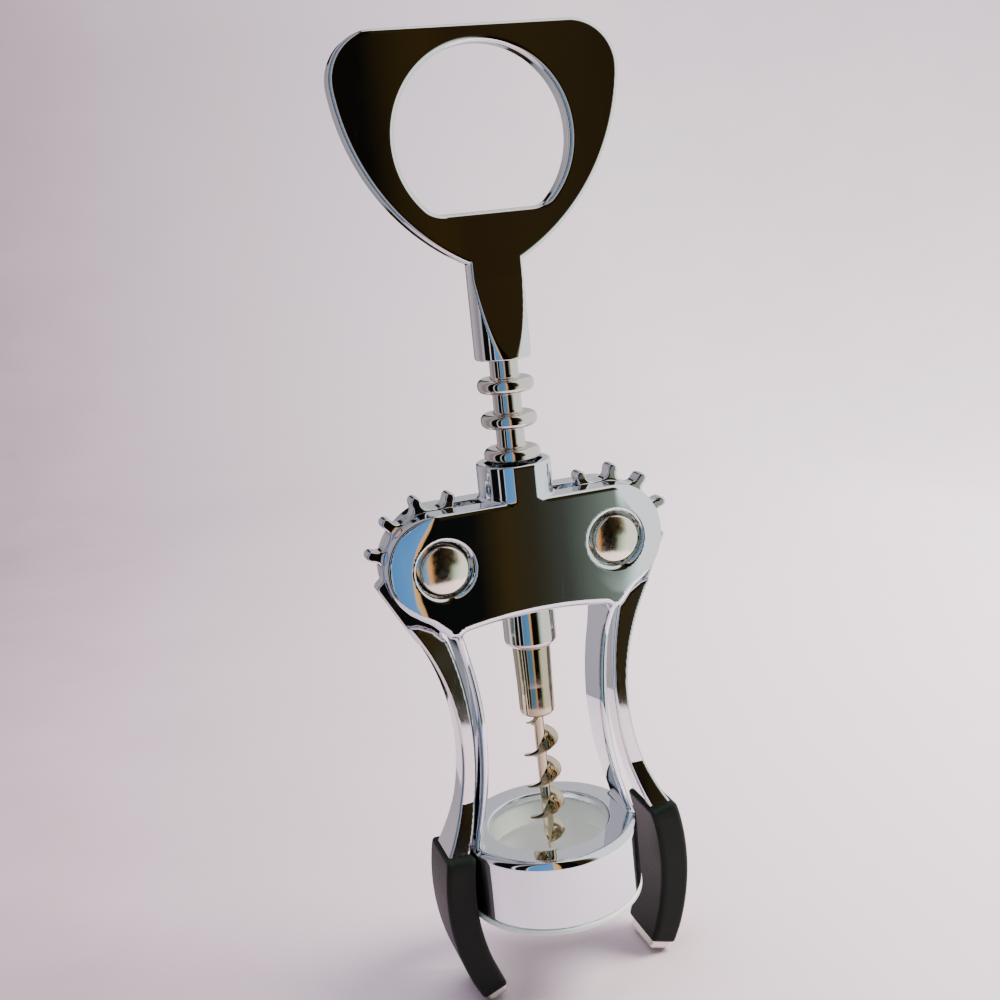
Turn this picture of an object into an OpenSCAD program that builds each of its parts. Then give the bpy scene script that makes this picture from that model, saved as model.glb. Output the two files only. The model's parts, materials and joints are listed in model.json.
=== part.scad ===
// Lever corkscrew: a ringed rack slides through a cast frame and turns two
// toothed levers. Origin: centre of the bell's mouth. +Z: up the axis.
// Left and right are seen from the front, which faces -Y.

/* [Bell] */
// Outer radius of the bell that sits on the bottle
bell_r = 19; // [17:0.5:20]
// Height of the bell's top face above its mouth
bell_h = 16.2; // [14:0.2:17]
// Radius of the hole in the bell's top face, which the worm passes
bell_hole_r = 12.8; // [11:0.2:13.5]
// Wall thickness of the cast bell
bell_wall = 1.6; // [1.2:0.1:2]
// Rounding of the bell's top edge
bell_edge_r = 1.6; // [0.8:0.1:1.6]
// Radius of the mouth that the bottle's lip enters
mouth_r = 15; // [14.8:0.1:15]
// Depth of the mouth up to the lip's stop
mouth_depth = 8.6; // [7:0.2:9]
// Thickness of the liner's flange under the bell
flange_h = 1.4; // [1:0.1:2]

/* [Frame] */
// Height of the lever pivots above the mouth
pivot_z = 77.6; // [77:0.1:78.2]
// Distance of each lever pivot from the axis
pivot_x = 18.2; // [18.1:0.05:18.4]
// Radius of the round ends of the frame's body
body_end_r = 11.2; // [10.6:0.1:11.6]
// Half of the body's thickness, front to back
body_half_t = 7.2; // [6.8:0.1:7.6]
// Height of the middle of the arch under the body
arch_z = 65.1; // [64.6:0.1:65.6]
// Radius of the arch
arch_r = 90; // [70:5:120]
// Half of the legs' depth, front to back
leg_half_t = 4.6; // [4:0.1:5]
// Height of the collar's top face
collar_top_z = 95.9; // [95:0.1:97]
// Outer radius of the collar
collar_r = 7.55; // [7.4:0.05:8]
// Radius of the bore that guides the rack
guide_bore_r = 5.85; // [5.8:0.01:6]
// Half of the slot's width that the toothed levers turn in
slot_half_t = 2.1; // [2.05:0.05:2.3]

/* [Rack] */
// Outer radius of the rings
ring_r = 5.66; // [5.5:0.02:5.7]
// Thickness of each ring
ring_t = 2.9; // [2.4:0.1:2.9]
// Radius of the rack between its rings
rack_core_r = 2.85; // [2.8:0.05:3]
// Height of the middle of the highest ring
top_ring_z = 111.3; // [111.3:0.1:111.6]
// Radius of the rack's plain lower cylinder
rack_foot_r = 5.45; // [5.2:0.05:5.6]
// Height of the rack's lower end
rack_bottom_z = 56.75; // [56:0.25:58]

/* [Levers] */
// Radius of the tooth tips
tooth_tip_r = 14.65; // [14.4:0.05:14.7]
// Radius of the gear between its teeth
tooth_root_r = 11.4; // [11:0.1:11.6]
// Width of each tooth
tooth_w = 2.1; // [1.9:0.05:2.2]
// Half of the toothed part's thickness
gear_half_t = 1.8; // [1.6:0.05:1.9]
// How far backlash lets the left lever hang inwards, in degrees
left_play = 1.3; // [0:0.1:1.4]
// How far backlash lets the right lever hang outwards, in degrees
right_play = 1.5; // [0:0.1:1.6]
// Half of the grip's depth, front to back
grip_half_t = 7; // [6:0.1:7.2]
// How far the lever's metal end stands out of the grip
tip_proud = 2.2; // [1.5:0.1:3]

/* [Handle] */
// Height of the handle's top edge
handle_top_z = 179.05; // [177:0.5:181]
// Thickness of the handle's plate
plate_t = 4.4; // [4:0.1:5]
// Radius of the opener hole
opener_r = 17.2; // [17:0.1:17.6]
// Height of the opener hole's centre
opener_z = 158.5; // [158:0.1:159]
// Height of the straight edge that catches the cap
opener_edge_z = 145.1; // [144.6:0.1:146]
// Radius of the handle's stem
stem_r = 5.6; // [5.4:0.05:5.7]
// Height of the stem's lower end
stem_bottom_z = 116.55; // [116.5:0.05:116.8]

/* [Worm] */
// Radius of the worm's solid core
worm_core_r = 1.15; // [1:0.05:1.3]
// Outer radius of the worm's blade
worm_blade_r = 3.85; // [3.5:0.05:4]
// Rise of the blade in one turn
worm_pitch = 7.3; // [7:0.1:8]
// Height of the worm's point
worm_tip_z = 9.3; // [9:0.1:10]
// Height of the ferrule's lower end
ferrule_bottom_z = 41.3; // [40:0.1:43]

/* [Hidden] */
$fn = 96;
eps = 0.01;
// A full gear of this pitch would have 12 teeth, and each tooth moves the rack one ring.
gear_teeth = 12;
tooth_step = 360 / gear_teeth;
tooth_count = 6;
ring_pitch = 7;
ring_count = 6;
// Angles run from straight up, outwards, about the lever's own pivot.
first_tooth_angle = -78;
handle_side_r = 42.55;
handle_side_x = 13.93;
handle_side_z = 173.19;
handle_corner_r = 9.3;
neck_z = 135.3;
wedge_top_z = 132.5;
rod_r = 1.55;
rod_bore_r = 1.6;
rod_top_z = 131;
rod_bottom_z = 44;
end_gap = 0.1;
shank_r = 3;
lever_bore_r = 3.05;
rivet_head_r = 5.2;
recess_r = 6.3;
recess_floor = 4.9;
rivet_proud = 0.5;
leg_outer_r = 85;
leg_outer_x = 99.45;
leg_inner_r = 78;
leg_inner_x = 90.6;
leg_mid_z = 41;
arm_outer_r = 49.6;
arm_outer_x = 68.5;
arm_outer_z = 39.8;
arm_inner_r = 75;
arm_inner_x = 90.8;
grip_outer_r = 50;
grip_outer_x = -22.7;
grip_inner_x = -29.1;
grip_mid_z = 4.2;
grip_top_z = 15.2;
liner_stop_h = 14.4;
blade_start_z = 40.5;
// The blade faces the front when its height is this, plus whole turns.
front_z = 11.9;
sweep_steps = 100;
ring_points = 14;

// Extrude an outline drawn in X and Z to a thickness centred on Y = 0.
module upright(half_t) {
    rotate([90, 0, 0]) translate([0, 0, -half_t]) linear_extrude(2 * half_t) children();
}

// Extrude an outline drawn in Y and Z along X, wide enough for the whole object.
module sideways() {
    rotate([90, 0, 90]) translate([0, 0, -45]) linear_extrude(90) children();
}

// A solid of revolution about the axis Y through a pivot.
module about_pivot(side) {
    translate([side * pivot_x, 0, pivot_z]) rotate([90, 0, 0]) children();
}

// The outline of a bore, to take out of a turned outline.
module bore_outline(r, low, high) {
    translate([-1, low]) square([r + 1, high - low]);
}

// Room for the bell, and below it for the neck of the bottle.
module clear_of_bell() {
    difference() {
        children();
        cylinder(r = bell_r + 0.35, h = bell_h + 1);
        translate([0, 0, -30]) cylinder(r = mouth_r + 0.1, h = 31);
    }
}

// ---- Frame casting ----

module leg_outline() {
    intersection() {
        difference() {
            translate([leg_inner_x, leg_mid_z]) circle(leg_inner_r, $fn = 360);
            translate([leg_outer_x, leg_mid_z]) circle(leg_outer_r, $fn = 360);
        }
        translate([0, bell_h - 1]) square([30, 49]);
    }
}

module body_outline() {
    difference() {
        union() {
            for (side = [-1, 1]) translate([side * pivot_x, pivot_z]) circle(body_end_r);
            translate([-pivot_x, 62]) square([2 * pivot_x, pivot_z + body_end_r - 62]);
            for (side = [0, 1]) mirror([side, 0])
                polygon([[15.4, 61.5], [17.2, 61.5], [19.4, 64.2], [22.2, 67], [25.7, 69.8],
                    [pivot_x, 72], [15.4, 72]]);
        }
        translate([0, arch_z - arch_r]) circle(arch_r, $fn = 360);
        translate([-15.75, 50]) square([31.5, 13.6]);
    }
}

// The body is deepest at the top and its faces curve in to meet the legs.
module side_profile() {
    flare = 8;
    polygon(concat(
        [[leg_half_t, 10], [leg_half_t, 57]],
        [for (a = [10:10:90]) [leg_half_t + (body_half_t - leg_half_t) * (1 - cos(a)), 57 + flare * sin(a)]],
        [[body_half_t, 100], [-body_half_t, 100]],
        [for (a = [90:-10:10]) [-leg_half_t - (body_half_t - leg_half_t) * (1 - cos(a)), 57 + flare * sin(a)]],
        [[-leg_half_t, 57], [-leg_half_t, 10]]));
}

// Seen from above, the body's ends are round.
module top_profile() {
    end_x = pivot_x + body_end_r - body_half_t + eps;
    translate([0, 0, 10]) linear_extrude(100) {
        for (side = [-1, 1]) translate([side * end_x, 0]) circle(body_half_t);
        translate([-end_x, -body_half_t]) square([2 * end_x, 2 * body_half_t]);
    }
}

module collar() {
    intersection() {
        rotate_extrude() polygon([[0, 80], [collar_r, 80], [collar_r, collar_top_z - 0.4],
            [collar_r - 0.4, collar_top_z], [0, collar_top_z]]);
        translate([-10, -body_half_t, 70]) cube([20, 2 * body_half_t, 40]);
    }
}

module bell_shell() {
    rotate_extrude($fn = 180) difference() {
        union() {
            translate([0, flange_h]) square([bell_r, bell_h - flange_h - bell_edge_r]);
            translate([0, bell_h - bell_edge_r - eps]) square([bell_r - bell_edge_r, bell_edge_r + eps]);
            translate([bell_r - bell_edge_r, bell_h - bell_edge_r]) circle(bell_edge_r);
        }
        bore_outline(bell_r - bell_wall, 0, liner_stop_h);
        bore_outline(bell_hole_r, 0, 30);
    }
}

module frame_casting() {
    color("gainsboro") difference() {
        union() {
            intersection() {
                upright(body_half_t) {
                    body_outline();
                    for (side = [0, 1]) mirror([side, 0]) leg_outline();
                }
                sideways() side_profile();
                top_profile();
            }
            collar();
            bell_shell();
        }
        translate([0, 0, 40]) cylinder(r = guide_bore_r, h = 60);
        for (side = [-1, 1]) {
            about_pivot(side) {
                cylinder(r = tooth_tip_r + 0.45, h = 2 * slot_half_t, center = true);
                cylinder(r = shank_r, h = 30, center = true);
                for (face = [0, 1]) mirror([0, 0, face])
                    translate([0, 0, recess_floor]) cylinder(r = recess_r, h = 10);
            }
        }
    }
}

module bell_liner() {
    color("honeydew") rotate_extrude($fn = 180) difference() {
        union() {
            square([bell_r + 0.1, flange_h]);
            square([bell_r - bell_wall, liner_stop_h]);
        }
        bore_outline(mouth_r, -1, mouth_depth);
        bore_outline(bell_hole_r + 0.4, -1, 20);
    }
}

// ---- Rivets ----

module domed_head() {
    cap_r = 14;
    head_h = body_half_t + rivet_proud - recess_floor;
    intersection() {
        translate([0, 0, recess_floor]) cylinder(r = rivet_head_r, h = head_h);
        translate([0, 0, recess_floor + head_h - cap_r]) sphere(r = cap_r);
    }
}

// The post carries the front head and runs through the frame to the back cap.
module pivot_rivet(side) {
    color("lightgoldenrodyellow") about_pivot(side) {
        domed_head();
        translate([0, 0, -recess_floor]) cylinder(r = shank_r, h = 2 * recess_floor);
        translate([0, 0, -recess_floor - 1.6]) cylinder(r = 1.8, h = 2);
    }
}

module rivet_cap(side) {
    color("khaki") about_pivot(side) mirror([0, 0, 1]) difference() {
        domed_head();
        cylinder(r = 1.8, h = recess_floor + 1.6);
    }
}

module left_pivot_rivet() { pivot_rivet(-1); }
module right_pivot_rivet() { pivot_rivet(1); }
module left_rivet_cap() { rivet_cap(-1); }
module right_rivet_cap() { rivet_cap(1); }

// ---- Levers and grips, drawn for the right side ----

module tooth_outline() {
    half_w = tooth_w / 2;
    translate([-half_w, tooth_root_r - 1]) square([tooth_w, tooth_tip_r - half_w - tooth_root_r + 1]);
    translate([0, tooth_tip_r - half_w]) circle(half_w, $fn = 32);
    polygon([[-half_w - 0.9, tooth_root_r - 0.4], [half_w + 0.9, tooth_root_r - 0.4],
        [half_w, tooth_root_r + 1], [-half_w, tooth_root_r + 1]]);
}

module gear_outline() {
    translate([pivot_x, pivot_z]) {
        circle(tooth_root_r);
        for (i = [0:tooth_count - 1]) rotate(-first_tooth_angle - i * tooth_step) tooth_outline();
    }
    polygon([[pivot_x + 8, pivot_z + 2], [30.9, 75.7], [31.3, 75], [26.9, 66.2], [24.6, 61.9],
        [18.6, 60.2], [19.4, 63], [pivot_x, 68]]);
}

module arm_outline() {
    intersection() {
        difference() {
            translate([arm_inner_x, leg_mid_z]) circle(arm_inner_r, $fn = 360);
            translate([arm_outer_x, arm_outer_z]) circle(arm_outer_r, $fn = 360);
        }
        polygon([[14, grip_top_z - 1], [30, grip_top_z - 1], [30, 62], [27.1, 66.5], [24, 65.9],
            [21.2, 64.3], [19.6, 62.4], [14, 58]]);
    }
}

// The arm is thin at the gear and widens in depth towards the grip.
module arm_depth() {
    polygon([[-5, 14], [-4.9, 17], [-3.4, 30], [-2.8, 42], [-2.8, 70], [2.8, 70], [2.8, 42],
        [3.4, 30], [4.9, 17], [5, 14]]);
}

// Space between the grip's two curves, shrunk by inset on each side.
module grip_band(inset) {
    difference() {
        translate([grip_outer_x, grip_mid_z]) circle(grip_outer_r - inset, $fn = 360);
        translate([grip_inner_x, grip_mid_z]) circle(grip_outer_r + inset, $fn = 360);
    }
}

module grip_cut(extra_top, extra_end) {
    polygon([[10, grip_top_z - 1.2 + extra_top], [33, grip_top_z + 1.3 + extra_top], [35, -10],
        [22.6, -18.1 - extra_end], [15.4, -15.5 - extra_end], [10, -6]]);
}

module tang() {
    upright(4) intersection() {
        grip_band(1.6);
        grip_cut(0.5, 0.2);
    }
    upright(5.6) intersection() {
        grip_band(0.6);
        grip_cut(0, tip_proud);
        polygon([[10, -14.5], [14.4, -15.15], [23.6, -18.45], [30, -21], [30, -30], [10, -30]]);
    }
}

module swing(angle) {
    translate([pivot_x, 0, pivot_z]) rotate([0, angle, 0]) translate([-pivot_x, 0, -pivot_z]) children();
}

module lever() {
    color("silver") difference() {
        union() {
            upright(gear_half_t) gear_outline();
            intersection() {
                upright(5) arm_outline();
                sideways() arm_depth();
            }
            tang();
        }
        about_pivot(1) cylinder(r = lever_bore_r, h = 20, center = true);
    }
}

module grip() {
    color([0.09, 0.11, 0.1]) difference() {
        intersection() {
            upright(grip_half_t) intersection() {
                grip_band(0);
                grip_cut(0, 0);
            }
            sideways() polygon([[-6.2, 19], [-grip_half_t, 13], [-grip_half_t, -13], [-6.4, -20],
                [6.4, -20], [grip_half_t, -13], [grip_half_t, 13], [6.2, 19]]);
        }
        tang();
        intersection() {
            upright(5) arm_outline();
            sideways() arm_depth();
        }
    }
}

module right_lever() { clear_of_bell() swing(-right_play) lever(); }
module right_grip() { clear_of_bell() swing(-right_play) grip(); }
module left_lever() { mirror([1, 0, 0]) clear_of_bell() swing(left_play) lever(); }
module left_grip() { mirror([1, 0, 0]) clear_of_bell() swing(left_play) grip(); }

// ---- Rack ----

module ring_profile(z) {
    round_r = ring_t / 2 - 0.1;
    translate([0, z - ring_t / 2]) square([ring_r - round_r, ring_t]);
    translate([0, z - 0.1]) square([ring_r, 0.2]);
    for (side = [-1, 1]) translate([ring_r - round_r, z + side * 0.1]) circle(round_r, $fn = 48);
}

module rack_sleeve() {
    top_z = stem_bottom_z - end_gap;
    foot_top_z = top_ring_z - ring_count * ring_pitch + ring_t / 2;
    edge = 1.5;
    color("silver") rotate_extrude() difference() {
        union() {
            translate([0, foot_top_z - 2]) square([rack_core_r, top_z - foot_top_z + 2]);
            for (i = [0:ring_count - 1]) ring_profile(top_ring_z - i * ring_pitch);
            translate([0, rack_bottom_z + edge]) square([rack_foot_r, foot_top_z - rack_bottom_z - edge - 0.8]);
            translate([0, rack_bottom_z]) square([rack_foot_r - edge, foot_top_z - rack_bottom_z]);
            translate([rack_foot_r - edge, rack_bottom_z + edge]) circle(edge, $fn = 48);
            translate([rack_foot_r - 0.8, foot_top_z - 0.8]) circle(0.8, $fn = 48);
            translate([0, foot_top_z - 1]) square([rack_foot_r - 0.8, 1]);
        }
        bore_outline(rod_bore_r, 0, 200);
    }
}

// ---- Handle and spindle ----

module handle_side(side) {
    translate([-side * handle_side_x, handle_side_z]) circle(handle_side_r, $fn = 360);
}

module handle_outline() {
    corner_z = handle_top_z - handle_corner_r;
    reach = handle_side_r - handle_corner_r;
    corner_x = sqrt(pow(reach, 2) - pow(handle_side_z - corner_z, 2)) - handle_side_x;
    slope = (corner_z - handle_side_z) / (corner_x + handle_side_x);
    difference() {
        intersection() {
            handle_side(-1);
            handle_side(1);
            translate([-40, neck_z - 1]) square([80, handle_top_z - neck_z + 1]);
        }
        for (side = [0, 1]) mirror([side, 0]) difference() {
            polygon([[corner_x, corner_z], [corner_x, 195], [45, 195], [45, corner_z + slope * (45 - corner_x)]]);
            translate([corner_x, corner_z]) circle(handle_corner_r);
        }
        difference() {
            translate([0, opener_z]) circle(opener_r, $fn = 180);
            translate([-20, opener_edge_z - 20]) square([40, 20]);
        }
    }
}

// The stem's front and back are planed to wedges that run into the plate.
module stem() {
    intersection() {
        translate([0, 0, stem_bottom_z]) cylinder(r = stem_r, h = neck_z - stem_bottom_z + 1.5);
        sideways() polygon([[-stem_r, stem_bottom_z], [-plate_t / 2, wedge_top_z], [-plate_t / 2, 140],
            [plate_t / 2, 140], [plate_t / 2, wedge_top_z], [stem_r, stem_bottom_z]]);
    }
}

module handle() {
    color("gainsboro") difference() {
        union() {
            upright(plate_t / 2) handle_outline();
            stem();
        }
        translate([0, 0, 100]) cylinder(r = rod_r, h = rod_top_z - 100);
    }
}

module spindle_rod() {
    color("darkgray") translate([0, 0, rod_bottom_z]) cylinder(r = rod_r, h = rod_top_z - rod_bottom_z);
}

module worm_ferrule() {
    top_z = rack_bottom_z - end_gap;
    color("silver") rotate_extrude() difference() {
        polygon([[0, ferrule_bottom_z], [3.3, ferrule_bottom_z], [3.7, ferrule_bottom_z + 0.5],
            [3.75, 48], [4, top_z - 0.3], [3.8, top_z], [0, top_z]]);
        bore_outline(rod_r, rod_bottom_z, 70);
        bore_outline(worm_core_r, 0, rod_bottom_z + eps);
    }
}

// ---- Worm: a core with one helical blade, swept as rings of points ----

// Outer radius of the blade at height z: it runs out at both ends.
function blade_r(z) =
    let (low = (z - worm_tip_z) / 5, high = (blade_start_z - z) / 3)
    worm_core_at(z) + (worm_blade_r - worm_core_r) * max(0, min(1, low, high));
function worm_core_at(z) = worm_core_r * max(0.12, min(1, (z - worm_tip_z + 0.4) / 4));
function turn_at(z) = -90 + 360 * (z - front_z) / worm_pitch;
// Radius of the section, in the direction a degrees away from the blade.
function section_r(z, a) =
    let (core = worm_core_at(z), spread = 26)
    a >= spread ? core : core + (blade_r(z) - core) * pow(cos(90 * a / spread), 1.3);
function wrap(a) = abs(a) > 180 ? 360 - abs(a) : abs(a);
// Directions of the section's points, crowded around the blade.
section_angles = [0, 7, 14, 20, 26, 70, 120, 180, 240, 290, 334, 340, 346, 353];

function worm_ring(z) = [for (a = section_angles)
    let (r = section_r(z, wrap(a)), t = turn_at(z) + a) [r * cos(t), r * sin(t), z]];

module worm() {
    bottom = worm_tip_z;
    top = rod_bottom_z;
    rings = [for (i = [0:sweep_steps]) worm_ring(bottom + (top - bottom) * i / sweep_steps)];
    points = [for (ring = rings) each ring];
    last = ring_points - 1;
    corners = [for (i = [0:sweep_steps - 1], j = [0:last])
        [i * ring_points + j, i * ring_points + (j + 1) % ring_points]];
    color("silver") polyhedron(points, concat(
        [[for (j = [0:last]) j]],
        [for (c = corners) [c[0], c[0] + ring_points, c[1] + ring_points]],
        [for (c = corners) [c[0], c[1] + ring_points, c[1]]],
        [[for (j = [last:-1:0]) sweep_steps * ring_points + j]]), convexity = 10);
}

frame_casting();
bell_liner();
left_pivot_rivet();
right_pivot_rivet();
left_rivet_cap();
right_rivet_cap();
left_lever();
right_lever();
left_grip();
right_grip();
rack_sleeve();
handle();
spindle_rod();
worm_ferrule();
worm();
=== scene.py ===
"""A lever corkscrew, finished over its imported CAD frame.

Shapes are worked out in millimetres, in the frame that the CAD uses: the
bell's mouth is the origin, +Z is up the axis and the front faces -Y.
Left and right are seen from the front.
"""
import json
import math

import bpy
import numpy as np
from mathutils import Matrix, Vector


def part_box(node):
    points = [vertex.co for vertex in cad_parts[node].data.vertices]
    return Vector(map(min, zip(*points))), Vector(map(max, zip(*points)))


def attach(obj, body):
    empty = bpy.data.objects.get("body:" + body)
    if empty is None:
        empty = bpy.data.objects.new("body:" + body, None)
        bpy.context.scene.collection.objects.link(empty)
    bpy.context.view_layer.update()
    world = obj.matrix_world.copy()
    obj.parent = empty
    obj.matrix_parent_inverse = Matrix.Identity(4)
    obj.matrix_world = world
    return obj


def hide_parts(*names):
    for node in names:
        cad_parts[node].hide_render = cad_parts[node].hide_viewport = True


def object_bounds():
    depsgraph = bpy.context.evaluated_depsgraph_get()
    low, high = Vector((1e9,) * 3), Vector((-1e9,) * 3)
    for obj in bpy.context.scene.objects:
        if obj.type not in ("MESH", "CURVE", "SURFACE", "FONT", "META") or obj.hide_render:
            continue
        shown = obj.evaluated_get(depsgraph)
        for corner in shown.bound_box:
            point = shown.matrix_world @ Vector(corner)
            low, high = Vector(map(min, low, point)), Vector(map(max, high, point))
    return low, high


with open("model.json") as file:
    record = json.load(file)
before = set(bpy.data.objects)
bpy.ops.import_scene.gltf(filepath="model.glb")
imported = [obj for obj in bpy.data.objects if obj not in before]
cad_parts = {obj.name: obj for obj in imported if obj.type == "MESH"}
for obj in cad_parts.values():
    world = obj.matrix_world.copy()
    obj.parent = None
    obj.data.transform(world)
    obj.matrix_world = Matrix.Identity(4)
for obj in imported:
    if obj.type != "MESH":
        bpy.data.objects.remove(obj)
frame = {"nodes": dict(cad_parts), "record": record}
cad_low, cad_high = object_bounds()

MM = 0.001


def box_mm(name):
    """Lowest and highest corner of a CAD node, in millimetres."""
    low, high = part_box(name)
    return np.array(low) / MM, np.array(high) / MM


# ---- Surfaces from fields ----
#
# A field takes x, y and z in millimetres and is negative inside the piece, 0 on
# its surface and positive outside, growing by about 1 for each millimetre.

SETTLE_TIMES = 4
EVEN_OUT_TIMES = 3


def length(a, b):
    return np.sqrt(a * a + b * b)


def ramp(value, low, high):
    """0 below low, 1 above high, and smooth in between."""
    t = np.clip((value - low) / (high - low), 0, 1)
    return t * t * (3 - 2 * t)


def join(a, b, fillet):
    """Both shapes, with a fillet where they meet."""
    gap = np.maximum(fillet - abs(a - b), 0)
    return np.minimum(a, b) - gap * gap / (4 * fillet)


def cut(a, b, edge):
    """The first shape without the second, with the new edges softened."""
    return -join(-a, b, edge)


def both(a, b, edge):
    """What lies in both shapes, with the edge between them rounded to a true radius."""
    a, b = a + edge, b + edge
    outside = length(np.maximum(a, 0), np.maximum(b, 0))
    return np.minimum(np.maximum(a, b), 0) + outside - edge


def circle(u, v, arc):
    """Distance from a flat circle, given as its centre and its radius, negative inside."""
    return length(u - arc[0], v - arc[1]) - arc[2]


def polygon(u, v, corners):
    """Distance from the outline of a flat polygon, negative inside."""
    nearest = np.inf
    inside = False
    for (u0, v0), (u1, v1) in zip(corners, corners[1:] + corners[:1]):
        du, dv = u1 - u0, v1 - v0
        along = np.clip(((u - u0) * du + (v - v0) * dv) / (du * du + dv * dv), 0, 1)
        nearest = np.minimum(nearest, length(u - u0 - along * du, v - v0 - along * dv))
        crossed = ((v0 > v) != (v1 > v)) & (u < u0 + (v - v0) * du / (dv or 1e-9))
        inside = inside ^ crossed
    return np.where(inside, -nearest, nearest)


def uphill(field, points):
    """The direction in which the field grows fastest, at each point."""
    reach = 0.01
    rises = [field(*(points + reach * e).T) - field(*(points - reach * e).T) for e in np.eye(3)]
    return np.stack(rises, 1) / (2 * reach)


def settle(field, points, step):
    """Moves points onto the surface, each by less than one step at a time."""
    for _ in range(SETTLE_TIMES):
        slope = uphill(field, points)
        move = field(*points.T)[:, None] * slope / np.maximum((slope ** 2).sum(1), 1e-6)[:, None]
        size = np.sqrt((move ** 2).sum(1))
        points = points - move * np.minimum(1, step / np.maximum(size, 1e-9))[:, None]
    return points


def skin(field, low, high, step):
    """Four-sided mesh of a field's surface: its points, faces and outward directions."""
    axes = [np.arange(a - 2 * step, b + 3 * step, step) for a, b in zip(low, high)]
    values = np.array(np.broadcast_to(field(*np.ix_(*axes)), [len(a) for a in axes]))
    unit = np.eye(3, dtype=int)
    crossings, cells = [], []
    for axis in range(3):
        near = values[tuple(slice(None, -1) if i == axis else slice(None) for i in range(3))]
        far = values[tuple(slice(1, None) if i == axis else slice(None) for i in range(3))]
        at = np.argwhere((near < 0) != (far < 0))
        a, b = near[tuple(at.T)], far[tuple(at.T)]
        u, v = unit[(axis + 1) % 3], unit[(axis + 2) % 3]
        quads = np.stack([at, at - u, at - u - v, at - v], 1)
        quads[b < 0] = quads[b < 0][:, ::-1]
        cells.append(quads)
        crossings.append(at + (a / (a - b))[:, None] * unit[axis])
    keys = np.ravel_multi_index(np.concatenate(cells).reshape(-1, 3).T, values.shape)
    corner = np.unique(keys, return_inverse=True)[1].ravel()
    faces = corner.reshape(-1, 4)
    crossing = np.repeat(np.concatenate(crossings), 4, 0)
    points = np.stack([np.bincount(corner, crossing[:, i]) for i in range(3)], 1)
    points = points / np.bincount(corner)[:, None] * step + [a[0] for a in axes]
    points = settle(field, points, step)
    ends = np.concatenate([faces, np.roll(faces, 1, 1)]).ravel()
    others = np.concatenate([np.roll(faces, 1, 1), faces]).ravel()
    for _ in range(EVEN_OUT_TIMES):
        points = np.stack([np.bincount(ends, points[others, i]) for i in range(3)], 1)
        points = settle(field, points / np.bincount(ends)[:, None], step)
    slope = uphill(field, points)
    return points, faces, slope / np.sqrt((slope ** 2).sum(1))[:, None]


def turned(surface, angle):
    """The surface swung about the right pivot, tops towards the outside for a positive angle."""
    points, faces, normals = surface
    s, c = math.sin(math.radians(angle)), math.cos(math.radians(angle))
    swing = np.array([[c, 0, -s], [0, 1, 0], [s, 0, c]])
    pivot = np.array([PIVOT_X, 0, PIVOT_Z])
    return (points - pivot) @ swing + pivot, faces, normals @ swing


def mirrored(surface):
    """The surface as its twin on the other side."""
    flip = np.array([-1, 1, 1])
    points, faces, normals = surface
    return points * flip, faces[:, ::-1], normals * flip


def piece(name, surface, body, material, slot, *nodes):
    """Makes the object, lets it ride on its body and stand for its CAD nodes."""
    points, faces, normals = surface
    mesh = bpy.data.meshes.new(name)
    mesh.from_pydata((points * MM).tolist(), [], [list(face) for face in faces])
    mesh.shade_smooth()
    mesh.normals_split_custom_set_from_vertices(normals.tolist())
    mesh.materials.append(material)
    obj = bpy.data.objects.new(name, mesh)
    bpy.context.collection.objects.link(obj)
    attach(obj, body)
    if nodes:
        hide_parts(*nodes)


# ---- Sizes, in millimetres, from the CAD model ----

joints = frame["record"]["behaviour"]["joints"]
right_hinge = next(joint for joint in joints if joint["name"] == "right_lever_hinge")
PIVOT_X, _, PIVOT_Z = (value / MM for value in right_hinge["pos_m"])
# How far each lever is turned by its play at rest, in degrees: the left grip leans in
# towards the bell and the right one away from it.
LEFT_PLAY, RIGHT_PLAY = 1.3, -1.5

casting_low, casting_high = box_mm("frame_casting")
liner_low, liner_high = box_mm("bell_liner")
rivet_low, rivet_high = box_mm("right_pivot_rivet")
rack_low, rack_high = box_mm("rack_sleeve")
handle_low, handle_high = box_mm("handle")
ferrule_low, ferrule_high = box_mm("worm_ferrule")
worm_low, worm_high = box_mm("worm")
BELL_R = casting_high[1]


# ---- Frame casting ----

BODY_END_R = 11.2
BODY_HALF = 7.2
# The right half of the body between and below its round ends, reaching past the middle.
BODY_CORNERS = [(-9, 61), (16.2, 61), (17.3, 62), (19.4, 64.2), (22.2, 67), (25.7, 69.8),
                (PIVOT_X, 77), (-9, 77)]
ARCH = (0, -24.9, 90)
ARCH_END_X, ARCH_END_Z = 15.75, 63.6
# The faces fall away over this width, to 34 degrees at the rim.
ROLL_W = 8
ROLL_R = ROLL_W / math.sin(math.radians(34))
# The fall fades out over this distance inside a slanting line through the lower corners.
LOW_CORNER_X, LOW_CORNER_Z = 25.8, 69.4
LOW_FADE_W = 9

# Each leg lies between two arcs.
LEG_INNER = (90.6, 41, 78)
LEG_OUTER = (99.45, 41, 85)

BELL_WALL = 1.6
BELL_TOP, BELL_ROOF = 16.2, 14.4
BELL_HOLE_R = 12.8
LINER_FLANGE = 1.4
LINER_LIP_R = 13.2
MOUTH_R, MOUTH_DEPTH = 15, 8.6

COLLAR_R, COLLAR_TOP, COLLAR_FOOT = 7.55, 95.9, 80
GUIDE_R, GUIDE_FOOT = 5.85, 40
LEVER_SLOT_R, LEVER_SLOT_HALF = 15.1, 2.1
# Each rivet sits in a round recess whose mouth opens out a little at the face.
RECESS_R, RECESS_FLOOR = 5.75, 4.9
RIVET_R, DOME_R, DOME_RISE = 5.0, 14, 0.5


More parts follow.
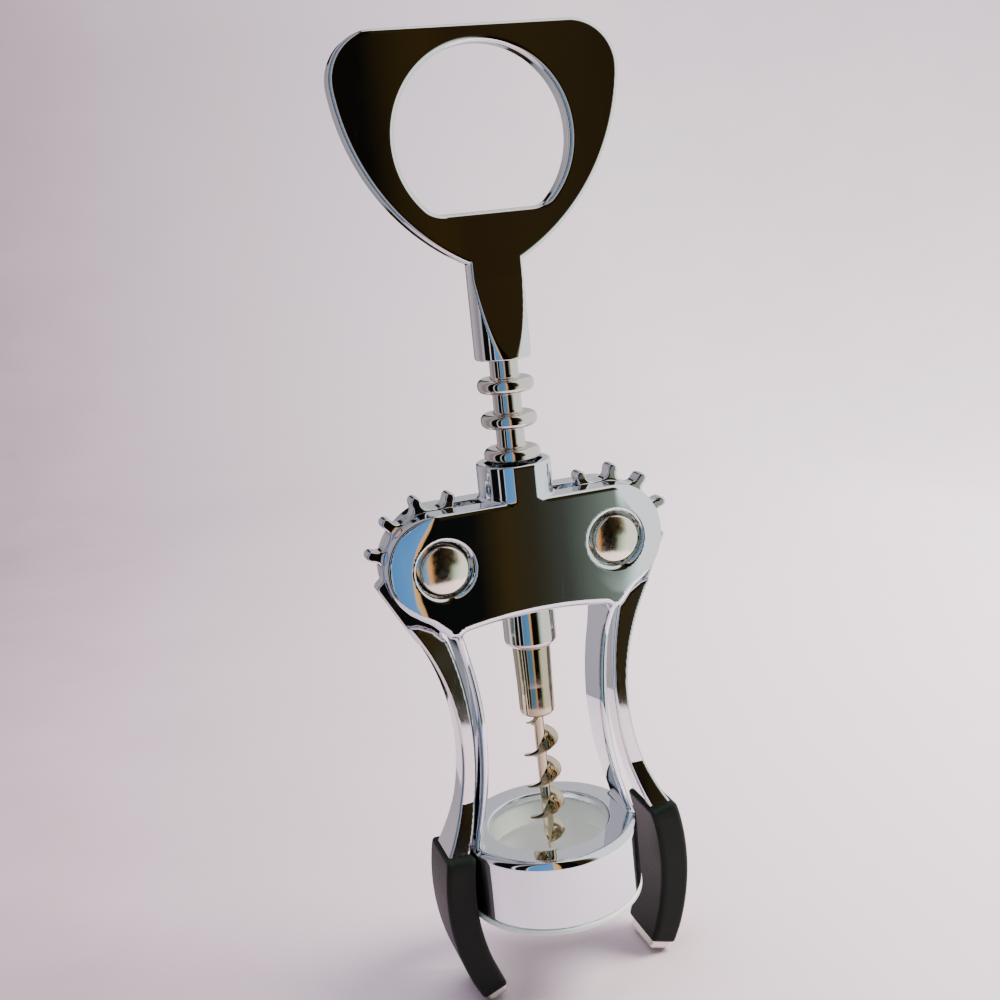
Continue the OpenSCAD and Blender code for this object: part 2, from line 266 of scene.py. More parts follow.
def body_outline(x, z):
    side = abs(x)
    ends = length(np.maximum(side - PIVOT_X, 0), z - PIVOT_Z) - BODY_END_R
    shoulder = polygon(side, z, BODY_CORNERS)
    under_arch = np.minimum(circle(x, z, ARCH), np.maximum(side - ARCH_END_X, z - ARCH_END_Z))
    return np.maximum(join(ends, shoulder, 0.6), -under_arch)


def rolled_body(x, y, z):
    """The body's faces are flat in the middle and fall away towards its ends."""
    side = abs(x)
    up = z - PIVOT_Z
    inset = BODY_END_R - length(np.maximum(side - PIVOT_X, 0), np.where(up > 0, up, 0.6 * up))
    down = 0.733 * (LOW_CORNER_X - side) + 0.68 * (LOW_CORNER_Z - z)
    beside_collar = (1 - ramp(side, 18.5, 26)) * (1 - ramp(z, 81, 73))
    fade = (1 - beside_collar) * ramp(down, LOW_FADE_W, 0)
    across = np.clip(ROLL_W - inset, 0, ROLL_W)
    drop = (ROLL_R - np.sqrt(ROLL_R ** 2 - across ** 2)) * fade
    # The edge is rounder along the bottom.
    edge = 0.9 + 0.9 * ramp(z, 76, 66) - 0.3 * fade
    return both(body_outline(x, z), abs(y) - BODY_HALF + drop, edge)


def legs(x, y, z):
    side = abs(x)
    blade = np.maximum(circle(side, z, LEG_INNER), -circle(side, z, LEG_OUTER))
    # From front to back the legs widen towards the body and the bell.
    half = 4.6 + 2.4 * ramp(z, 56, 67) + 0.5 * ramp(z, 20, 16)
    leg = both(blade, abs(y) - half, 0.9)
    return np.maximum(leg, np.maximum(15.3 - z, z - 65))


def bell(x, y, z):
    radius = length(x, y)
    shell = both(radius - BELL_R, z - BELL_TOP, 1.6)
    shell = both(shell, liner_low[2] + LINER_FLANGE - z, 0.3)
    inside = np.maximum(radius - BELL_R + BELL_WALL, z - BELL_ROOF)
    inside = np.minimum(inside, radius - BELL_HOLE_R)
    return cut(shell, inside, 0.7)


def collar(x, y, z):
    radius = length(x, y)
    post = both(np.maximum(radius - COLLAR_R, abs(y) - BODY_HALF), z - COLLAR_TOP, 0.45)
    return np.maximum(post, COLLAR_FOOT - z)


def casting(x, y, z):
    shape = join(rolled_body(x, y, z), collar(x, y, z), 0.7)
    shape = join(shape, legs(x, y, z), 1.6)
    shape = join(shape, bell(x, y, z), 1.2)
    # The fillets stay within the body's faces above and the bell's wall below.
    above = z > 40
    shape = np.maximum(shape, abs(y) - np.where(above, BODY_HALF, BELL_R))
    shape = np.maximum(shape, length(x, y) - np.where(above, 99, BELL_R))
    about_pivot = length(abs(x) - PIVOT_X, z - PIVOT_Z)
    slot = np.maximum(about_pivot - LEVER_SLOT_R, abs(y) - LEVER_SLOT_HALF)
    mouth = RECESS_R + np.clip(abs(y) - 6.55, 0, 0.65)
    recess = np.maximum((about_pivot - mouth) * 0.8, RECESS_FLOOR - abs(y))
    guide = np.maximum(length(x, y) - GUIDE_R, GUIDE_FOOT - z)
    shape = cut(shape, slot, 0.4)
    shape = cut(shape, recess, 0.3)
    return cut(shape, guide, 0.12)


def liner(x, y, z):
    radius = length(x, y)
    flange = both(radius - liner_high[0], abs(z - LINER_FLANGE / 2) - LINER_FLANGE / 2, 0.4)
    cup = np.maximum(radius - BELL_R + BELL_WALL, abs(z - BELL_ROOF / 2) - BELL_ROOF / 2)
    mouth = np.minimum(np.maximum(radius - MOUTH_R, z - MOUTH_DEPTH), radius - LINER_LIP_R)
    return cut(np.minimum(flange, cup), mouth, 0.6)


def rivet_head(x, y, z):
    """A domed head, drawn at the right pivot with the dome to the front."""
    radius = length(x - PIVOT_X, z - PIVOT_Z)
    dome = np.sqrt(radius * radius + (y + BODY_HALF + DOME_RISE - DOME_R) ** 2) - DOME_R
    return both(both(radius - RIVET_R, dome, 0.5), y + RECESS_FLOOR, 0.2)


# ---- Levers and grips, drawn for the right side ----

TOOTH_TIP_R = 14.65
TOOTH_W = 2.1
TOOTH_ROOT_R, WHEEL_R = 9, 11.4
# The teeth stand every 30 degrees, from the first to the sixth.
FIRST_TOOTH, TOOTH_STEP, TOOTH_LAST = -78, 30, 5
# Where the wheel grows into the arm.
SHOULDER_CORNERS = [(PIVOT_X + 8, PIVOT_Z + 2), (30.9, 75.7), (31.3, 75), (26.9, 66.2),
                    (24.6, 61.9), (18.6, 60.2), (19.4, 63), (PIVOT_X, 68)]

ARM_CORNERS = [(14, 12), (30, 12), (30, 62), (27.1, 66.5), (24, 65.9), (21.2, 64.3),
               (19.6, 62.4), (14, 58)]
ARM_INNER = (90.8, 41, 75)
ARM_OUTER = (68.5, 39.8, 49.6)
# Below this height the arm narrows to pass inside the grip.
GRIP_MOUTH_Z = 14.2

GRIP_CORNERS = [(10, 14), (33, 16.5), (35, -10), (22.6, -18.1), (15.4, -15.5), (10, -6)]
LEVER_END_CORNERS = [(10, -6), (30, -6), (22.6, -20.3), (15.4, -17.7)]
GRIP_R, GRIP_Z = 50, 4.2
GRIP_OUTER_X, GRIP_INNER_X = -22.7, -29.1

BELL_GAP = 0.3
# The gap is kept from the bell's mouth to twice this height.
BELL_GAP_HALF = 8.6


def gear_outline(x, z):
    across, up = x - PIVOT_X, z - PIVOT_Z
    radius = length(across, up)
    turn = np.degrees(np.arctan2(across, up))
    past_first = turn - FIRST_TOOTH
    nearest = np.clip(np.round(past_first / TOOTH_STEP), 0, TOOTH_LAST)
    from_tooth = np.radians(past_first - TOOTH_STEP * nearest)
    beside, out = radius * np.sin(from_tooth), radius * np.cos(from_tooth)
    tooth = length(beside, np.maximum(out - TOOTH_TIP_R + TOOTH_W / 2, 0)) - TOOTH_W / 2
    tooth = np.maximum(tooth, TOOTH_ROOT_R - out)
    wheel = join(radius - WHEEL_R, tooth, 1.6)
    return join(wheel, polygon(x, z, SHOULDER_CORNERS) + 0.1, 0.5)


def clear_of_bell(part):
    """The same part, less what would touch the bell once the lever leans in by its play."""
    s, c = math.sin(math.radians(LEFT_PLAY)), math.cos(math.radians(LEFT_PLAY))

    def cleared(x, y, z):
        across, up = x - PIVOT_X, z - PIVOT_Z
        radius = length(PIVOT_X + across * c + up * s, y)
        height = PIVOT_Z + up * c - across * s
        in_reach = abs(height - BELL_GAP_HALF) - BELL_GAP_HALF
        too_near = np.maximum(radius - BELL_R - BELL_GAP, in_reach)
        return np.maximum(part(x, y, z), -too_near)
    return cleared


def lever(x, y, z):
    plate = both(gear_outline(x, z), abs(y) - 1.8, 0.4)
    from_inner = circle(x, z, ARM_INNER)
    blade = np.maximum(from_inner, -circle(x, z, ARM_OUTER))
    blade = np.maximum(blade, np.where(z < GRIP_MOUTH_Z, grip_band(x, z, 0.7), -9))
    # The arm thickens just above the grip, and it is a little thinner at its inner edge.
    half = np.interp(z, [15, 26], [4.6, 2.8]) - 0.04 * from_inner
    arm = both(both(blade, polygon(x, z, ARM_CORNERS), 0.4), abs(y) - half, 0.6)
    return np.minimum(plate, arm)


def grip_band(x, z, inset):
    """Between the grip's two curves, less a margin."""
    outer = length(x - GRIP_OUTER_X, z - GRIP_Z) - GRIP_R + inset
    return np.maximum(outer, GRIP_R + inset - length(x - GRIP_INNER_X, z - GRIP_Z))


def grip(x, y, z):
    half = np.interp(z, [-20, -13, 13, 19], [6.5, 7, 7, 6.3])
    outline = both(grip_band(x, z, 0), polygon(x, z, GRIP_CORNERS), 0.8)
    return both(outline, abs(y) - half, 1.1)


def lever_end(x, y, z):
    """The metal end below the grip, where the lever's tang comes out."""
    outline = both(grip_band(x, z, 0.6), polygon(x, z, LEVER_END_CORNERS), 0.8)
    return both(outline, abs(y) - 5.6, 0.9)


# ---- Rack ----

TOP_RING_Z, RING_PITCH, RING_LAST = 111.3, 7, 5
RING_R, RING_HALF = 5.66, 1.45
CORE_R, CORE_BORE_R = 2.85, 1.6
FOOT_R, FOOT_TOP = 5.45, 70.7


def rack(x, y, z):
    radius = length(x, y)
    nearest = np.clip(np.round((TOP_RING_Z - z) / RING_PITCH), 0, RING_LAST)
    from_ring = z - TOP_RING_Z + RING_PITCH * nearest
    ring = both(radius - RING_R, abs(from_ring) - RING_HALF, 1.3)
    core = both(radius - CORE_R, z - rack_high[2], 0.2)
    foot = both(radius - FOOT_R, z - FOOT_TOP, 0.8)
    shape = join(join(ring, core, 0.5), foot, 0.5)
    shape = both(shape, rack_low[2] - z, 1.4)
    return np.maximum(shape, CORE_BORE_R - radius)


# ---- Handle, ferrule and worm ----

PLATE_HALF = 2.2
PLATE_FOOT = 134.8
# Each long side is an arc whose centre lies on the far side of the middle.
SIDE_R, SIDE_X, SIDE_Z = 42.55, 13.93, 173.19
CORNER_R = 9.3
# The opener hole is round, with a flat bottom.
HOLE = (0, 158.5, 17.2)
HOLE_FLAT_Z = 145.1
# The stem is a round bar that two slanting flats thin down to the plate.
STEM_R, STEM_TOP = 5.6, 138
FLAT_SLOPE = 0.213


def plate_outline(x, z):
    side = abs(x)
    top = handle_high[2]
    corner_z = top - CORNER_R
    run = math.sqrt((SIDE_R - CORNER_R) ** 2 - (SIDE_Z - corner_z) ** 2)
    corner_x = run - SIDE_X
    slope = (corner_z - SIDE_Z) / run
    edge = np.maximum(length(side + SIDE_X, z - SIDE_Z) - SIDE_R, z - top)
    in_corner = (side > corner_x) & (z > corner_z + slope * (side - corner_x))
    return np.where(in_corner, length(side - corner_x, z - corner_z) - CORNER_R, edge)


def handle(x, y, z):
    hole = both(circle(x, z, HOLE), HOLE_FLAT_Z - z, 0.8)
    edge = np.maximum(plate_outline(x, z), PLATE_FOOT - z)
    plate = both(edge, abs(y) - PLATE_HALF, 0.9)
    plate = both(plate, -hole, 0.01)
    rim = both(-hole, abs(y) - PLATE_HALF, 1.2)
    plate = np.maximum(plate, rim)
    flats = (abs(y) - STEM_R + (z - handle_low[2]) * FLAT_SLOPE) * 0.978
    wedge = np.minimum(abs(y) - PLATE_HALF, flats)
    stem = both(length(x, y) - STEM_R, handle_low[2] - z, 0.4)
    stem = both(np.maximum(stem, z - STEM_TOP), wedge, 0.3)
    return np.minimum(plate, stem)


def ferrule(x, y, z):
    radius = length(x, y)
    low, high = ferrule_low[2], ferrule_high[2]
    side = radius - np.interp(z, [low, low + 0.6, 48, high], [3.4, 3.7, 3.75, 4])
    return both(side, abs(z - (low + high) / 2) - (high - low) / 2, 0.35)


def worm():
    """A steel core with one helical blade, swept as rings of points up the axis."""
    pitch, blade_r, core_r = 7.3, 3.85, 1.15
    blade_top, blade_in_front = 40.5, 11.9
    # Each ring has its points closest together round the blade's edge.
    angles = np.concatenate([np.linspace(-30, 30, 25), np.linspace(45, 315, 15)])
    z = np.linspace(worm_low[2], worm_high[2], 420)[:, None]
    blade_share = np.clip(np.minimum((z - worm_low[2]) / 5, (blade_top - z) / 3), 0, 1)
    core_at = core_r * np.clip((z - worm_low[2] + 0.4) / 4, 0.12, 1)
    away = np.clip((abs(np.where(angles > 180, angles - 360, angles)) - 3) / 24, 0, 1)
    radius = core_at + (blade_r - core_r) * blade_share * np.cos(away * math.pi / 2) ** 1.3
    turn = np.radians(-90 + 360 * (z - blade_in_front) / pitch + angles)
    points = np.stack([radius * np.cos(turn), radius * np.sin(turn), z + 0 * turn], 2)
    rows, count = points.shape[:2]
    index = np.arange(rows * count).reshape(rows, count)
    right, up = np.roll(index, -1, 1), np.roll(index, -1, 0)
    faces = np.stack([index, right, np.roll(right, -1, 0), up], 2)[:-1].reshape(-1, 4)
    points = points.reshape(-1, 3)
    across = points[faces[:, 2]] - points[faces[:, 0]]
    along = points[faces[:, 3]] - points[faces[:, 1]]
    normal = np.cross(across, along)
    shares = [np.bincount(faces.ravel(), np.repeat(normal[:, i], 4)) for i in range(3)]
    normals = np.stack(shares, 1)
    normals /= np.maximum(np.sqrt((normals ** 2).sum(1)), 1e-9)[:, None]
    points = np.concatenate([points, [[0, 0, worm_low[2]], [0, 0, worm_high[2]]]])
    normals = np.concatenate([normals, [[0, 0, -1], [0, 0, 1]]])
    low_cap = [[rows * count, b, a] for a, b in zip(index[0], right[0])]
    high_cap = [[rows * count + 1, a, b] for a, b in zip(index[-1], right[-1])]
    return points, faces.tolist() + low_cap + high_cap, normals


# ---- Materials ----

def linear(colour):
    """An sRGB hex colour as the linear colour that a shader takes."""
    parts = (int(colour[i:i + 2], 16) / 255 for i in (0, 2, 4))
    return tuple(c / 12.92 if c <= 0.04045 else ((c + 0.055) / 1.055) ** 2.4 for c in parts) + (1,)


def add(tree, kind, inputs=(), **settings):
    """Adds a node. Each input is a value, or the output that feeds it."""
    new = tree.nodes.new("ShaderNode" + kind)
    for key, value in settings.items():
        setattr(new, key, value)
    for key, value in dict(inputs).items():
        if isinstance(value, bpy.types.NodeSocket):
            tree.links.new(value, new.inputs[key])
        else:
            new.inputs[key].default_value = value
    return new


def finish_named(name):
    """A new material: its node tree, its shader and its own coordinates in metres."""
    material = bpy.data.materials.new(name)
    material.use_nodes = True
    tree = material.node_tree
    place = add(tree, "TexCoord").outputs["Object"]
    return material, tree, tree.nodes["Principled BSDF"], place


def per(size_mm):
    """Texture scale at which a pattern repeats about every size_mm."""
    return 1 / (size_mm * MM)


def roughness(tree, shader, pattern, pattern_low, pattern_high, low, high):
    """Lets a pattern vary the shader's roughness from low to high."""
    rough = add(tree, "MapRange", {"Value": pattern, "From Min": pattern_low,
                                   "From Max": pattern_high, "To Min": low, "To Max": high})
    tree.links.new(rough.outputs[0], shader.inputs["Roughness"])


def relief(tree, shader, pattern, depth_mm):
    """Lets a pattern raise and lower the surface a little."""
    bump = add(tree, "Bump", {"Height": pattern, "Distance": depth_mm * MM, "Strength": 1})
    tree.links.new(bump.outputs[0], shader.inputs["Normal"])


def plated(name, colour, clean, smudged, ripple_mm, ripple_depth_mm, hairline_mm):
    """Bright plating: it follows the casting's faint waves, and dust, hairlines
    and finger marks break the mirror up a little."""
    material, tree, shader, place = finish_named(name)
    shader.inputs["Metallic"].default_value = 1
    smudge = add(tree, "TexNoise",
                 {"Vector": place, "Scale": per(14), "Detail": 4, "Roughness": 0.6})
    hair_place = add(tree, "Mapping", {"Vector": place, "Rotation": (0.4, 0.9, 0.2),
                                       "Scale": (1, 1, 0.03)})
    hair = add(tree, "TexNoise", {"Vector": hair_place.outputs[0], "Scale": per(hairline_mm),
                                  "Detail": 2})
    marks = add(tree, "MapRange", {"Value": hair.outputs["Fac"], "From Min": 0.62,
                                   "From Max": 0.72, "To Max": 0.06})
    haze = add(tree, "MapRange", {"Value": smudge.outputs["Fac"], "From Min": 0.5,
                                  "From Max": 0.75, "To Min": clean, "To Max": smudged})
    rough = add(tree, "Math", {0: haze.outputs[0], 1: marks.outputs[0]}, operation="ADD")
    tree.links.new(rough.outputs[0], shader.inputs["Roughness"])
    # Dust sits at the middle of about half of the cells.
    cell = add(tree, "TexVoronoi", {"Vector": place, "Scale": per(3.2), "Randomness": 1})
    speck = add(tree, "Math", {0: cell.outputs["Distance"], 1: 0.035}, operation="LESS_THAN")
    cell_value = add(tree, "SeparateColor", {0: cell.outputs["Color"]})
    dusty_cell = add(tree, "Math", {0: cell_value.outputs[0], 1: 0.5}, operation="LESS_THAN")
    dust = add(tree, "Math", {0: speck.outputs[0], 1: dusty_cell.outputs[0]}, operation="MULTIPLY")
    tone = add(tree, "MixRGB", {0: dust.outputs[0], 1: linear(colour), 2: linear("b9b2a6")})
    tree.links.new(tone.outputs[0], shader.inputs["Base Color"])
    wave = add(tree, "TexNoise", {"Vector": place, "Scale": per(ripple_mm), "Detail": 1})
    relief(tree, shader, wave.outputs["Fac"], ripple_depth_mm)
    return material


def turned_chrome():
    """Chrome on turned bar: fine tool rings round the axis, and scuffs where it slides."""
    material, tree, shader, place = finish_named("chrome_on_turned_steel")
    shader.inputs["Metallic"].default_value = 1
    shader.inputs["Base Color"].default_value = linear("d6d2ca")
    height = add(tree, "SeparateXYZ", {0: place})
    rings = add(tree, "TexNoise", {"W": height.outputs[2], "Scale": per(0.35), "Detail": 3},
                noise_dimensions="1D")
    scuff_place = add(tree, "Mapping", {"Vector": place, "Scale": (1, 1, 0.08)})
    scuff = add(tree, "TexNoise", {"Vector": scuff_place.outputs[0], "Scale": per(0.5),
                                   "Detail": 3})
    roughness(tree, shader, scuff.outputs["Fac"], 0.45, 0.7, 0.04, 0.12)
    relief(tree, shader, rings.outputs[0], 0.002)
    return material


def satin_nickel(name, colour, low, high):
    """Nickel left as barrel-finished: a soft, slightly warm shine with a fine mottle."""
    material, tree, shader, place = finish_named(name)
    shader.inputs["Metallic"].default_value = 1
    mottle = add(tree, "TexNoise",
                 {"Vector": place, "Scale": per(0.8), "Detail": 5, "Roughness": 0.65})
    roughness(tree, shader, mottle.outputs["Fac"], 0.35, 0.65, low, high)
    tone = add(tree, "MixRGB", {0: mottle.outputs["Fac"], 1: linear(colour), 2: linear("fff8ea")})
    tree.links.new(tone.outputs[0], shader.inputs["Base Color"])
    relief(tree, shader, mottle.outputs["Fac"], 0.01)
    return material


def moulded_black():
    """Glass-filled nylon from a spark-eroded mould: matte black, faintly green, with a fine
    even grain and edges rubbed a little paler."""
    material, tree, shader, place = finish_named("moulded_black_nylon")
    grain = add(tree, "TexNoise",
                {"Vector": place, "Scale": per(0.35), "Detail": 3, "Roughness": 0.6})
    cloud = add(tree, "TexNoise", {"Vector": place, "Scale": per(9), "Detail": 3})
    shade = add(tree, "MixRGB", {0: cloud.outputs["Fac"], 1: linear("0c120d"), 2: linear("141a15")})
    edge = add(tree, "MapRange", {"Value": add(tree, "NewGeometry").outputs["Pointiness"],
                                  "From Min": 0.52, "From Max": 0.6, "To Max": 0.35})
    worn = add(tree, "MixRGB", {0: edge.outputs[0], 1: shade.outputs[0], 2: linear("343a36")})
    tree.links.new(worn.outputs[0], shader.inputs["Base Color"])
    shader.inputs["Specular IOR Level"].default_value = 0.14
    roughness(tree, shader, grain.outputs["Fac"], 0.3, 0.7, 0.42, 0.55)
    relief(tree, shader, grain.outputs["Fac"], 0.03)
    return material


def moulded_white():
    """Polypropylene from a polished mould: milky, faintly green in its depth, with a waxy shine."""
    material, tree, shader, place = finish_named("moulded_white_polypropylene")
    cloud = add(tree, "TexNoise", {"Vector": place, "Scale": per(7), "Detail": 3})
    shade = add(tree, "MixRGB", {0: cloud.outputs["Fac"], 1: linear("d2e4da"), 2: linear("e6f1e9")})
    tree.links.new(shade.outputs[0], shader.inputs["Base Color"])
    shader.inputs["Subsurface Weight"].default_value = 0.25
    shader.inputs["Subsurface Radius"].default_value = (1, 1, 0.8)
    shader.inputs["Subsurface Scale"].default_value = 1.2 * MM
    shader.inputs["IOR"].default_value = 1.49
    fine = add(tree, "TexNoise", {"Vector": place, "Scale": per(0.6), "Detail": 3})
    roughness(tree, shader, fine.outputs["Fac"], 0, 1, 0.28, 0.42)
    relief(tree, shader, fine.outputs["Fac"], 0.01)
    return material


frame_chrome = plated("chrome_on_polished_zinc", "e6ecf3", 0.02, 0.06, 9, 0.006, 0.22)
handle_chrome = plated("chrome_on_buffed_zinc", "e9ebec", 0.03, 0.08, 7, 0.006, 0.22)
lever_chrome = plated("chrome_on_pressed_steel", "e3e4e6", 0.05, 0.12, 5, 0.008, 0.18)
worm_steel = plated("nickel_on_forged_steel", "bfb498", 0.05, 0.12, 2, 0.008, 0.15)
rack_chrome = turned_chrome()
rivet_nickel = satin_nickel("barrel_finished_nickel", "e6dfc6", 0.1, 0.2)
end_nickel = satin_nickel("satin_nickel", "c9c6bf", 0.28, 0.4)
grip_black = moulded_black()
liner_white = moulded_white()


# ---- Pieces ----

casting_skin = skin(casting, (casting_low[0], -BELL_R, LINER_FLANGE),
                    (casting_high[0], BELL_R, casting_high[2]), 0.4)
piece("polished_casting", casting_skin, "frame", frame_chrome, "frame_chrome", "frame_casting")
piece("white_bell_liner", skin(liner, liner_low, liner_high, 0.4),
      "frame", liner_white, "liner_white", "bell_liner")

head = skin(rivet_head, rivet_low, rivet_high, 0.25)
to_back = [1, -1, 1]
back = (head[0] * to_back, head[1][:, ::-1], head[2] * to_back)
for name, surface, node in (("right_domed_rivet", head, "right_pivot_rivet"),
                            ("left_domed_rivet", mirrored(head), "left_pivot_rivet"),
                            ("right_back_rivet", back, "right_rivet_cap"),
                            ("left_back_rivet", mirrored(back), "left_rivet_cap")):
    piece(name, surface, "frame", rivet_nickel, "rivet_nickel", node)

LEVER_BOX = (3, -5, 10), (33.5, 5, 92.8)
LEVER_END_BOX = (14, -6, -21), (27, 6, -5)
GRIP_BOX = (12, -7, -19), (28.5, 7, 18)
blade_end = skin(lever_end, *LEVER_END_BOX, 0.33)
for side, lie, fitted in (("right", lambda s: turned(s, RIGHT_PLAY), lambda part: part),
                          ("left", lambda s: mirrored(turned(s, LEFT_PLAY)), clear_of_bell)):
    body = side + "_lever"
    piece(side + "_toothed_lever", lie(skin(fitted(lever), *LEVER_BOX, 0.33)),
          body, lever_chrome, "lever_chrome", body)
    piece(side + "_lever_end", lie(blade_end), body, end_nickel, "lever_chrome")
    piece(side + "_moulded_grip", lie(skin(fitted(grip), *GRIP_BOX, 0.4)),
          body, grip_black, "grip_black", side + "_grip")

piece("ringed_rack", skin(rack, rack_low, rack_high, 0.25),
      "rack", rack_chrome, "rack_chrome", "rack_sleeve")
piece("opener_handle", skin(handle, handle_low, handle_high, 0.28),
      "spindle", handle_chrome, "handle_chrome", "handle")
piece("crimped_ferrule", skin(ferrule, ferrule_low, ferrule_high, 0.3),
      "spindle", worm_steel, "worm_steel", "worm_ferrule")
piece("helical_worm", worm(), "spindle", worm_steel, "worm_steel", "worm")
# The rod keeps its CAD mesh, and takes the worm's finish.
frame["nodes"]["spindle_rod"].data.materials.clear()
frame["nodes"]["spindle_rod"].data.materials.append(worm_steel)


# ---- Floor, light and surroundings ----

# From here on lengths are in metres, apart from the sizes that are named mm.
FLOOR_Z = cad_low[2]
# The paper's painted shade goes from dark to pale between these places, from left to right, in
# place of light falling from the right.
PAINTED_SHADE_DARK_X, PAINTED_SHADE_PALE_X = -0.14, 0.3
NEAR_FLOOR_R = 0.145
CURVE_FROM_R, CURVE_R = 0.5, 0.3
WALL_TOP_Z = 1.2
ROOM_BRIGHTNESS = 1.3


def paper():
    """Matt background paper: pale lilac, with painted shade that darkens it to the left in place
    of light from the right, and a faint mottle so that it doesn't look like a void."""
    material, tree, shader, place = finish_named("matt_paper_painted_shade")
    cloud = add(tree, "TexNoise",
                {"Vector": place, "Scale": per(60), "Detail": 6, "Roughness": 0.6})
    along = add(tree, "SeparateXYZ", {0: place})
    # Painted shade: the colour darkens towards the left, standing in for light from the right.
    painted_shade_share = add(tree, "MapRange", {0: along.outputs[0], 1: PAINTED_SHADE_DARK_X, 2: PAINTED_SHADE_PALE_X})
    tone = add(tree, "MixRGB", {0: painted_shade_share.outputs[0], 1: linear("a18d97"), 2: linear("fdf1f5")})
    uneven = add(tree, "MapRange", {0: cloud.outputs["Fac"], 1: 0.3, 2: 0.7, 4: 0.15})
    shade = add(tree, "MixRGB", {0: uneven.outputs[0], 1: tone.outputs[0], 2: linear("d8c6cf")})
    tree.links.new(shade.outputs[0], shader.inputs["Base Color"])
    shader.inputs["Roughness"].default_value = 0.9
    return material


def round_sheet(name, profile, material):
    """A sheet of paper turned about the axis from (radius, height) pairs in metres."""
    turns = 96
    step = 2 * math.pi / turns
    points = [(r * math.cos(step * i), r * math.sin(step * i), z)
              for r, z in profile for i in range(turns)]
    faces = []
    for low in range(0, (len(profile) - 1) * turns, turns):
        for i in range(turns):
            after = (i + 1) % turns
            faces.append((low + i, low + after, low + turns + after, low + turns + i))
    mesh = bpy.data.meshes.new(name)
    mesh.from_pydata(points, [], faces)
    mesh.shade_smooth()
    mesh.materials.append(material)
    obj = bpy.data.objects.new(name, mesh)
    bpy.context.collection.objects.link(obj)
    return obj


background_paper = paper()
round_sheet("near_floor", [(0.0001, FLOOR_Z), (NEAR_FLOOR_R, FLOOR_Z)], background_paper)
curve = [(CURVE_FROM_R + CURVE_R * math.sin(a), FLOOR_Z + CURVE_R * (1 - math.cos(a)))
         for a in np.linspace(0, math.pi / 2, 13)]
wall_top = (CURVE_FROM_R + CURVE_R, WALL_TOP_Z)
sweep = round_sheet("paper_sweep", [(NEAR_FLOOR_R, FLOOR_Z), *curve, wall_top], background_paper)
# Bright metal would show the whole sweep, and the sweep would shut out the room's light, so
# only the camera sees it. The chrome shows the near floor and the room instead.
sweep.visible_glossy = sweep.visible_diffuse = False
sweep.visible_transmission = sweep.visible_shadow = False

# The room round the object, as a compass angle in degrees and a colour: 0 is in front,
# positive is to the right. First comes the left: dark right behind, then grey paper, a dark
# stretch with a pale slit, a bluish window with a warm strip beside it, and near black.
LEFT_ROOM = [
    (-180, "15130f"), (-177, "15130f"), (-176, "7d8186"), (-150, "b3a9b0"), (-110, "857b82"),
    (-97, "bcb4bd"), (-92, "0e0d0d"), (-69, "0e0d0d"), (-68, "e0e0e2"), (-65, "e0e0e2"),
    (-64, "0e0d0d"), (-50, "14110f"), (-49, "e6ecf0"), (-47.5, "4f86bd"), (-17.5, "5f95c9"),
    (-16, "e6b57e"), (-9, "dda262"), (-7.5, "0c0b09")]
# The right side is one bright wall that goes grey, and then dark, towards the back.
RIGHT_ROOM = [
    (41, "ffffff"), (134, "ffffff"), (146, "d8ced0"), (170, "b4b3b8"), (171.5, "3b3122"),
    (180, "15130f")]
# In front it is dark brown above, and lightens to the right below.
ROOM_ABOVE = LEFT_ROOM + [
    (13.5, "0c0b09"), (14.5, "33270f"), (17, "271c0e"), (19.5, "2c2211"), (24, "241c0e"),
    (30, "3d3520"), (36, "8f8f78")] + RIGHT_ROOM
ROOM_BELOW = LEFT_ROOM + [
    (16, "0d0e0e"), (16.4, "36290f"), (18, "2d2718"), (19.4, "383830"), (20.5, "4a5048"),
    (22.5, "7b8478"), (27, "a9b8a8"), (33, "d5ebe0")] + RIGHT_ROOM
# One gives way to the other between these heights over the horizon, in degrees.
BELOW_ENDS, ABOVE_STARTS = -11, -5


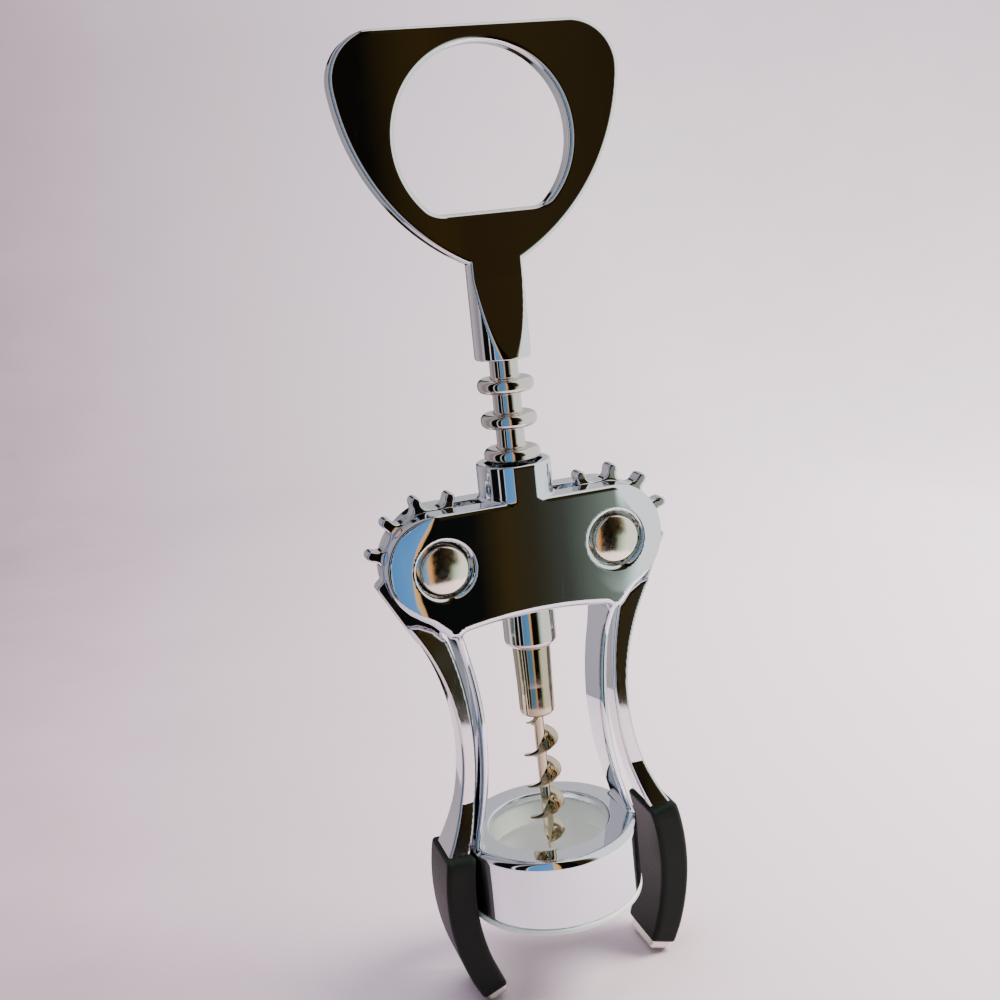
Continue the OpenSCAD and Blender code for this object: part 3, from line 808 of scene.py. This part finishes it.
def room_light():
    """Lights the scene from the room's bands, and shows them in the chrome."""
    world = bpy.data.worlds.new("room")
    world.use_nodes = True
    tree = world.node_tree
    way = add(tree, "SeparateXYZ", {0: add(tree, "TexCoord").outputs["Generated"]})
    front = add(tree, "Math", {0: way.outputs[1], 1: -1.0}, operation="MULTIPLY")
    compass = add(tree, "Math", {0: way.outputs[0], 1: front.outputs[0]}, operation="ARCTAN2")
    share = add(tree, "MapRange", {0: compass.outputs[0], 1: -math.pi, 2: math.pi})
    levels = []
    for room in (ROOM_BELOW, ROOM_ABOVE):
        bands = add(tree, "ValToRGB", {0: share.outputs[0]})
        stops = bands.color_ramp.elements
        while len(stops) < len(room):
            stops.new(1)
        for stop, (angle, colour) in zip(stops, room):
            stop.position = (angle + 180) / 360
            stop.color = linear(colour)
        levels.append(bands.outputs[0])
    height = add(tree, "MapRange", {0: way.outputs[2], 1: math.sin(math.radians(BELOW_ENDS)),
                                    2: math.sin(math.radians(ABOVE_STARTS))})
    both_levels = add(tree, "MixRGB", {0: height.outputs[0], 1: levels[0], 2: levels[1]})
    shine = tree.nodes["Background"]
    tree.links.new(both_levels.outputs[0], shine.inputs["Color"])
    shine.inputs["Strength"].default_value = ROOM_BRIGHTNESS
    bpy.context.scene.world = world


def soft_light(name, place, aim, size, power, colour):
    """A round lamp that the chrome doesn't show."""
    lamp = bpy.data.lights.new(name, "AREA")
    lamp.shape, lamp.size, lamp.energy, lamp.color = "DISK", size, power, linear(colour)[:3]
    obj = bpy.data.objects.new(name, lamp)
    bpy.context.collection.objects.link(obj)
    obj.location = place
    obj.rotation_euler = (Vector(aim) - Vector(place)).to_track_quat("-Z", "Y").to_euler()
    obj.visible_glossy = False


room_light()
soft_light("window_light", (0.5, -0.15, 0.6), (0, 0, 0.07), 0.35, 15, "fff6ec")
soft_light("overhead_light", (-0.1, 0.1, 0.9), (0, 0, 0), 0.8, 11, "f3efff")

lens = bpy.data.cameras.new("camera")
lens.lens, lens.shift_x, lens.shift_y = 45.6, -0.0125, -0.0026
camera = bpy.data.objects.new("camera", lens)
bpy.context.collection.objects.link(camera)
camera.location = (-0.07552, -0.23807, 0.14813)
camera.rotation_euler = [math.radians(angle) for angle in (76.425, 5.526, -18.743)]
bpy.context.scene.camera = camera
